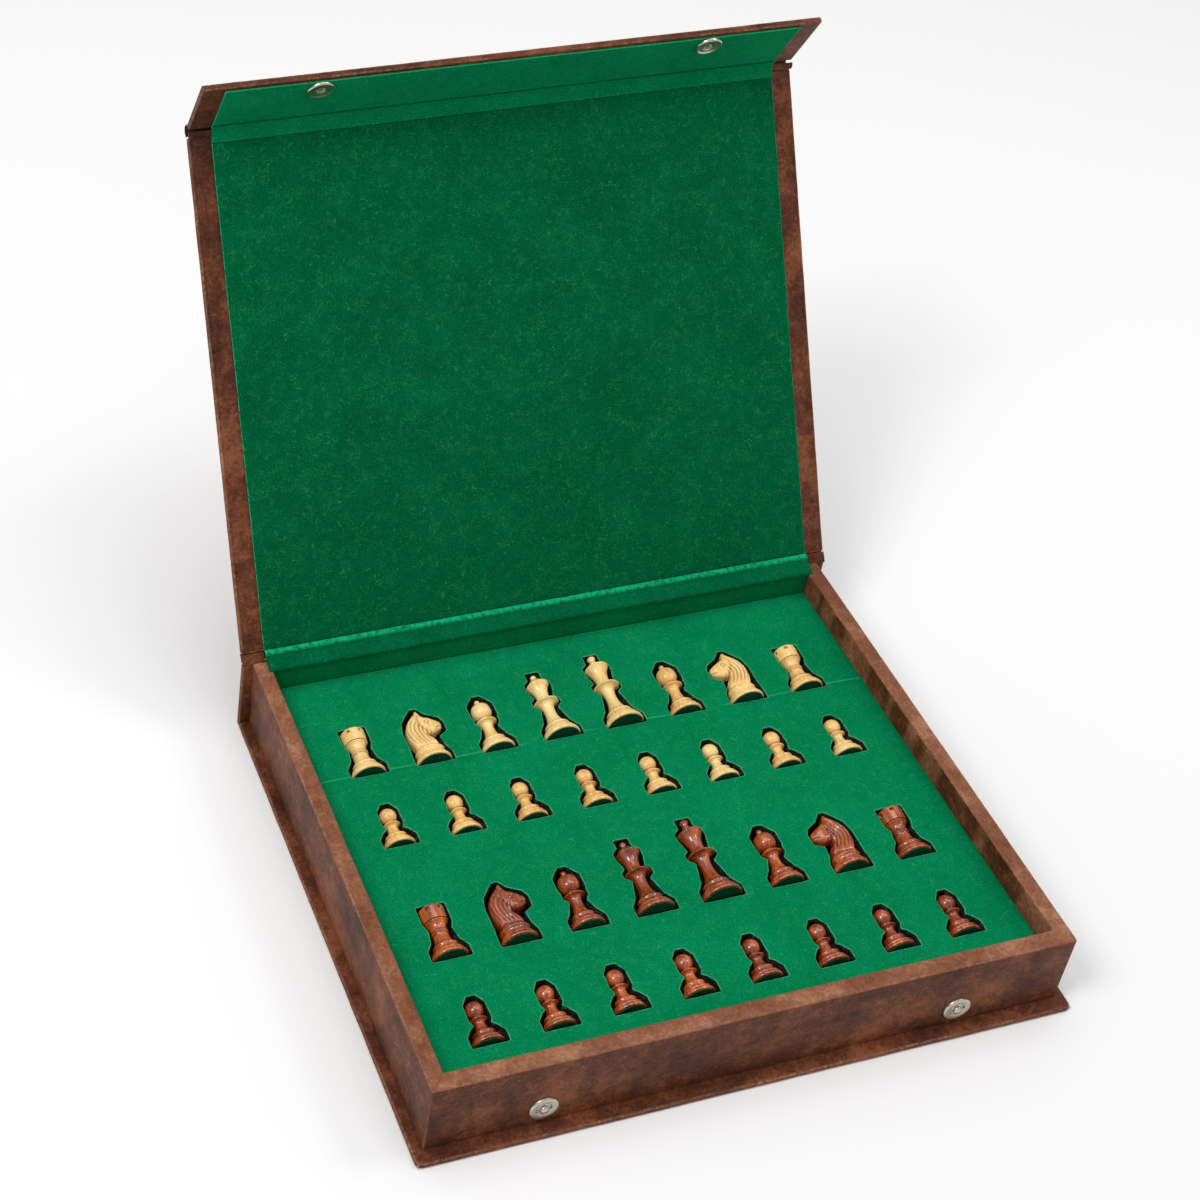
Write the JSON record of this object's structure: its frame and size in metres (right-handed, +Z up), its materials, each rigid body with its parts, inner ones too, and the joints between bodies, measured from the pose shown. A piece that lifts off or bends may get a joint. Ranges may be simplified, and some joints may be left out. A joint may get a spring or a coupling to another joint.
{
  "type": "travel chess set",
  "caption": "Book-style chess box: hinged lid with a snap-shut folding flap over a tray whose velvet-skinned foam insert holds turned chessmen lying in fitted cavities.",
  "frame": {"origin": "on the underside, centred left to right, in the plane of the tray's front face", "axes": "+X to the right seen from the front, +Y from the front to the spine, +Z up; the lid is modelled open at 121 degrees with the flap half folded"},
  "size_m": [0.413, 0.5178, 0.3935],
  "materials": {
    "leatherette": "satin grained brown leatherette",
    "velvet": "dark green velvet",
    "bright_velvet": "green velvet",
    "foam": "black closed-cell foam",
    "panel_board": "grey bookbinding board",
    "wall_board": "fibreboard",
    "boxwood": "satin turned boxwood",
    "red_lacquer": "gloss red-brown lacquered wood",
    "nickel": "nickel plate",
    "washer_steel": "plain steel",
    "magnet": "plain magnet"
  },
  "bodies": {
    "case": {"bottom_board": "panel_board", "bottom_wrap": "leatherette", "spine_board": "panel_board", "spine_wrap": "leatherette", "tray_floor": "wall_board", "tray_wall_front": "wall_board", "tray_wall_left": "wall_board", "tray_wall_right": "wall_board", "tray_wall_back": "wall_board", "tray_wrap": "leatherette", "foam_base": "foam", "foam_insert": "foam", "insert_velvet": "bright_velvet", "back_wall_velvet": "velvet", "snap_studs": "nickel", "snap_stud_washers": "washer_steel", "lid_hinge_leather": "leatherette", "lid_hinge_velvet": "bright_velvet"},
    "lid": {"lid_board": "panel_board", "lid_wrap": "leatherette", "lid_velvet": "velvet", "flap_hinge_leather": "leatherette", "flap_hinge_velvet": "velvet"},
    "flap": {"flap_board": "panel_board", "flap_wrap": "leatherette", "flap_velvet": "velvet", "snap_sockets": "nickel", "snap_magnets": "magnet"},
    "white_rook_left": {"white_rook_left": "boxwood"},
    "white_knight_left": {"white_knight_left": "boxwood"},
    "white_bishop_left": {"white_bishop_left": "boxwood"},
    "white_queen": {"white_queen": "boxwood"},
    "white_king": {"white_king": "boxwood"},
    "white_bishop_right": {"white_bishop_right": "boxwood"},
    "white_knight_right": {"white_knight_right": "boxwood"},
    "white_rook_right": {"white_rook_right": "boxwood"},
    "white_pawn_1": {"white_pawn_1": "boxwood"},
    "white_pawn_2": {"white_pawn_2": "boxwood"},
    "white_pawn_3": {"white_pawn_3": "boxwood"},
    "white_pawn_4": {"white_pawn_4": "boxwood"},
    "white_pawn_5": {"white_pawn_5": "boxwood"},
    "white_pawn_6": {"white_pawn_6": "boxwood"},
    "white_pawn_7": {"white_pawn_7": "boxwood"},
    "white_pawn_8": {"white_pawn_8": "boxwood"},
    "dark_rook_left": {"dark_rook_left": "red_lacquer"},
    "dark_knight_left": {"dark_knight_left": "red_lacquer"},
    "dark_bishop_left": {"dark_bishop_left": "red_lacquer"},
    "dark_queen": {"dark_queen": "red_lacquer"},
    "dark_king": {"dark_king": "red_lacquer"},
    "dark_bishop_right": {"dark_bishop_right": "red_lacquer"},
    "dark_knight_right": {"dark_knight_right": "red_lacquer"},
    "dark_rook_right": {"dark_rook_right": "red_lacquer"},
    "dark_pawn_1": {"dark_pawn_1": "red_lacquer"},
    "dark_pawn_2": {"dark_pawn_2": "red_lacquer"},
    "dark_pawn_3": {"dark_pawn_3": "red_lacquer"},
    "dark_pawn_4": {"dark_pawn_4": "red_lacquer"},
    "dark_pawn_5": {"dark_pawn_5": "red_lacquer"},
    "dark_pawn_6": {"dark_pawn_6": "red_lacquer"},
    "dark_pawn_7": {"dark_pawn_7": "red_lacquer"},
    "dark_pawn_8": {"dark_pawn_8": "red_lacquer"}
  },
  "joints": [
    {"name": "lid_hinge", "type": "hinge", "parent": "case", "child": "lid", "pos_m": [0, 0.33, 0.0575], "axis": [-1, 0, 0], "range_deg": [-121, 0], "deforming": ["lid_hinge_leather", "lid_hinge_velvet"]},
    {"name": "flap_fold", "type": "hinge", "parent": "lid", "child": "flap", "pos_m": [0, 0.50401, 0.34458], "axis": [-1, 0, 0], "range_deg": [-29, 61], "deforming": ["flap_hinge_leather", "flap_hinge_velvet"]},
    {"name": "white_rook_left_lift", "type": "slide", "parent": "case", "child": "white_rook_left", "axis": [0, 0, 1], "range_m": [0, 0.06]},
    {"name": "white_knight_left_lift", "type": "slide", "parent": "case", "child": "white_knight_left", "axis": [0, 0, 1], "range_m": [0, 0.06]},
    {"name": "white_bishop_left_lift", "type": "slide", "parent": "case", "child": "white_bishop_left", "axis": [0, 0, 1], "range_m": [0, 0.06]},
    {"name": "white_queen_lift", "type": "slide", "parent": "case", "child": "white_queen", "axis": [0, 0, 1], "range_m": [0, 0.06]},
    {"name": "white_king_lift", "type": "slide", "parent": "case", "child": "white_king", "axis": [0, 0, 1], "range_m": [0, 0.06]},
    {"name": "white_bishop_right_lift", "type": "slide", "parent": "case", "child": "white_bishop_right", "axis": [0, 0, 1], "range_m": [0, 0.06]},
    {"name": "white_knight_right_lift", "type": "slide", "parent": "case", "child": "white_knight_right", "axis": [0, 0, 1], "range_m": [0, 0.06]},
    {"name": "white_rook_right_lift", "type": "slide", "parent": "case", "child": "white_rook_right", "axis": [0, 0, 1], "range_m": [0, 0.06]},
    {"name": "white_pawn_1_lift", "type": "slide", "parent": "case", "child": "white_pawn_1", "axis": [0, 0, 1], "range_m": [0, 0.06]},
    {"name": "white_pawn_2_lift", "type": "slide", "parent": "case", "child": "white_pawn_2", "axis": [0, 0, 1], "range_m": [0, 0.06]},
    {"name": "white_pawn_3_lift", "type": "slide", "parent": "case", "child": "white_pawn_3", "axis": [0, 0, 1], "range_m": [0, 0.06]},
    {"name": "white_pawn_4_lift", "type": "slide", "parent": "case", "child": "white_pawn_4", "axis": [0, 0, 1], "range_m": [0, 0.06]},
    {"name": "white_pawn_5_lift", "type": "slide", "parent": "case", "child": "white_pawn_5", "axis": [0, 0, 1], "range_m": [0, 0.06]},
    {"name": "white_pawn_6_lift", "type": "slide", "parent": "case", "child": "white_pawn_6", "axis": [0, 0, 1], "range_m": [0, 0.06]},
    {"name": "white_pawn_7_lift", "type": "slide", "parent": "case", "child": "white_pawn_7", "axis": [0, 0, 1], "range_m": [0, 0.06]},
    {"name": "white_pawn_8_lift", "type": "slide", "parent": "case", "child": "white_pawn_8", "axis": [0, 0, 1], "range_m": [0, 0.06]},
    {"name": "dark_rook_left_lift", "type": "slide", "parent": "case", "child": "dark_rook_left", "axis": [0, 0, 1], "range_m": [0, 0.06]},
    {"name": "dark_knight_left_lift", "type": "slide", "parent": "case", "child": "dark_knight_left", "axis": [0, 0, 1], "range_m": [0, 0.06]},
    {"name": "dark_bishop_left_lift", "type": "slide", "parent": "case", "child": "dark_bishop_left", "axis": [0, 0, 1], "range_m": [0, 0.06]},
    {"name": "dark_queen_lift", "type": "slide", "parent": "case", "child": "dark_queen", "axis": [0, 0, 1], "range_m": [0, 0.06]},
    {"name": "dark_king_lift", "type": "slide", "parent": "case", "child": "dark_king", "axis": [0, 0, 1], "range_m": [0, 0.06]},
    {"name": "dark_bishop_right_lift", "type": "slide", "parent": "case", "child": "dark_bishop_right", "axis": [0, 0, 1], "range_m": [0, 0.06]},
    {"name": "dark_knight_right_lift", "type": "slide", "parent": "case", "child": "dark_knight_right", "axis": [0, 0, 1], "range_m": [0, 0.06]},
    {"name": "dark_rook_right_lift", "type": "slide", "parent": "case", "child": "dark_rook_right", "axis": [0, 0, 1], "range_m": [0, 0.06]},
    {"name": "dark_pawn_1_lift", "type": "slide", "parent": "case", "child": "dark_pawn_1", "axis": [0, 0, 1], "range_m": [0, 0.06]},
    {"name": "dark_pawn_2_lift", "type": "slide", "parent": "case", "child": "dark_pawn_2", "axis": [0, 0, 1], "range_m": [0, 0.06]},
    {"name": "dark_pawn_3_lift", "type": "slide", "parent": "case", "child": "dark_pawn_3", "axis": [0, 0, 1], "range_m": [0, 0.06]},
    {"name": "dark_pawn_4_lift", "type": "slide", "parent": "case", "child": "dark_pawn_4", "axis": [0, 0, 1], "range_m": [0, 0.06]},
    {"name": "dark_pawn_5_lift", "type": "slide", "parent": "case", "child": "dark_pawn_5", "axis": [0, 0, 1], "range_m": [0, 0.06]},
    {"name": "dark_pawn_6_lift", "type": "slide", "parent": "case", "child": "dark_pawn_6", "axis": [0, 0, 1], "range_m": [0, 0.06]},
    {"name": "dark_pawn_7_lift", "type": "slide", "parent": "case", "child": "dark_pawn_7", "axis": [0, 0, 1], "range_m": [0, 0.06]},
    {"name": "dark_pawn_8_lift", "type": "slide", "parent": "case", "child": "dark_pawn_8", "axis": [0, 0, 1], "range_m": [0, 0.06]}
  ]
}
